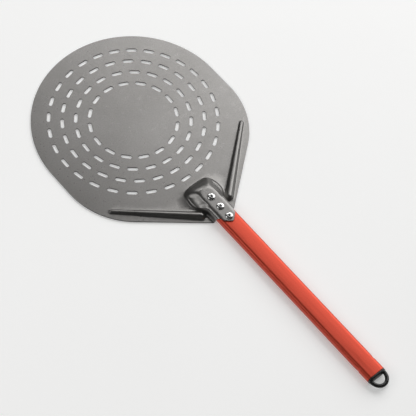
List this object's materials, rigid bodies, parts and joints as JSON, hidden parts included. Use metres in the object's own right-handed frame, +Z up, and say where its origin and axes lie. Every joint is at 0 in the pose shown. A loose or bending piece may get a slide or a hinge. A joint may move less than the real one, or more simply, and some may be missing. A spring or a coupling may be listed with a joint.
{
  "type": "pizza peel",
  "caption": "Perforated round metal pizza peel with pressed ribs, a neck riveted over a flat oblong tube handle, and a hanging loop.",
  "frame": {"origin": "centre of the blade's round part, on its underside", "axes": "+Z up out of the blade, +Y toward the blade's front edge, handle along -Y, X across the blade"},
  "size_m": [0.302, 0.697, 0.0182],
  "materials": {
    "blade": "hard-anodised, fine matt grain",
    "handle": "red anodised, satin",
    "end_cap": "black moulded plastic",
    "rivet": "bright",
    "mandrel": "snapped steel pin"
  },
  "bodies": {
    "root": {"blade": "blade", "handle_tube": "handle", "end_cap": "end_cap", "rivet_1": "rivet", "rivet_2": "rivet", "rivet_3": "rivet", "rivet_mandrel_1": "mandrel", "rivet_mandrel_2": "mandrel", "rivet_mandrel_3": "mandrel"}
  },
  "joints": []
}
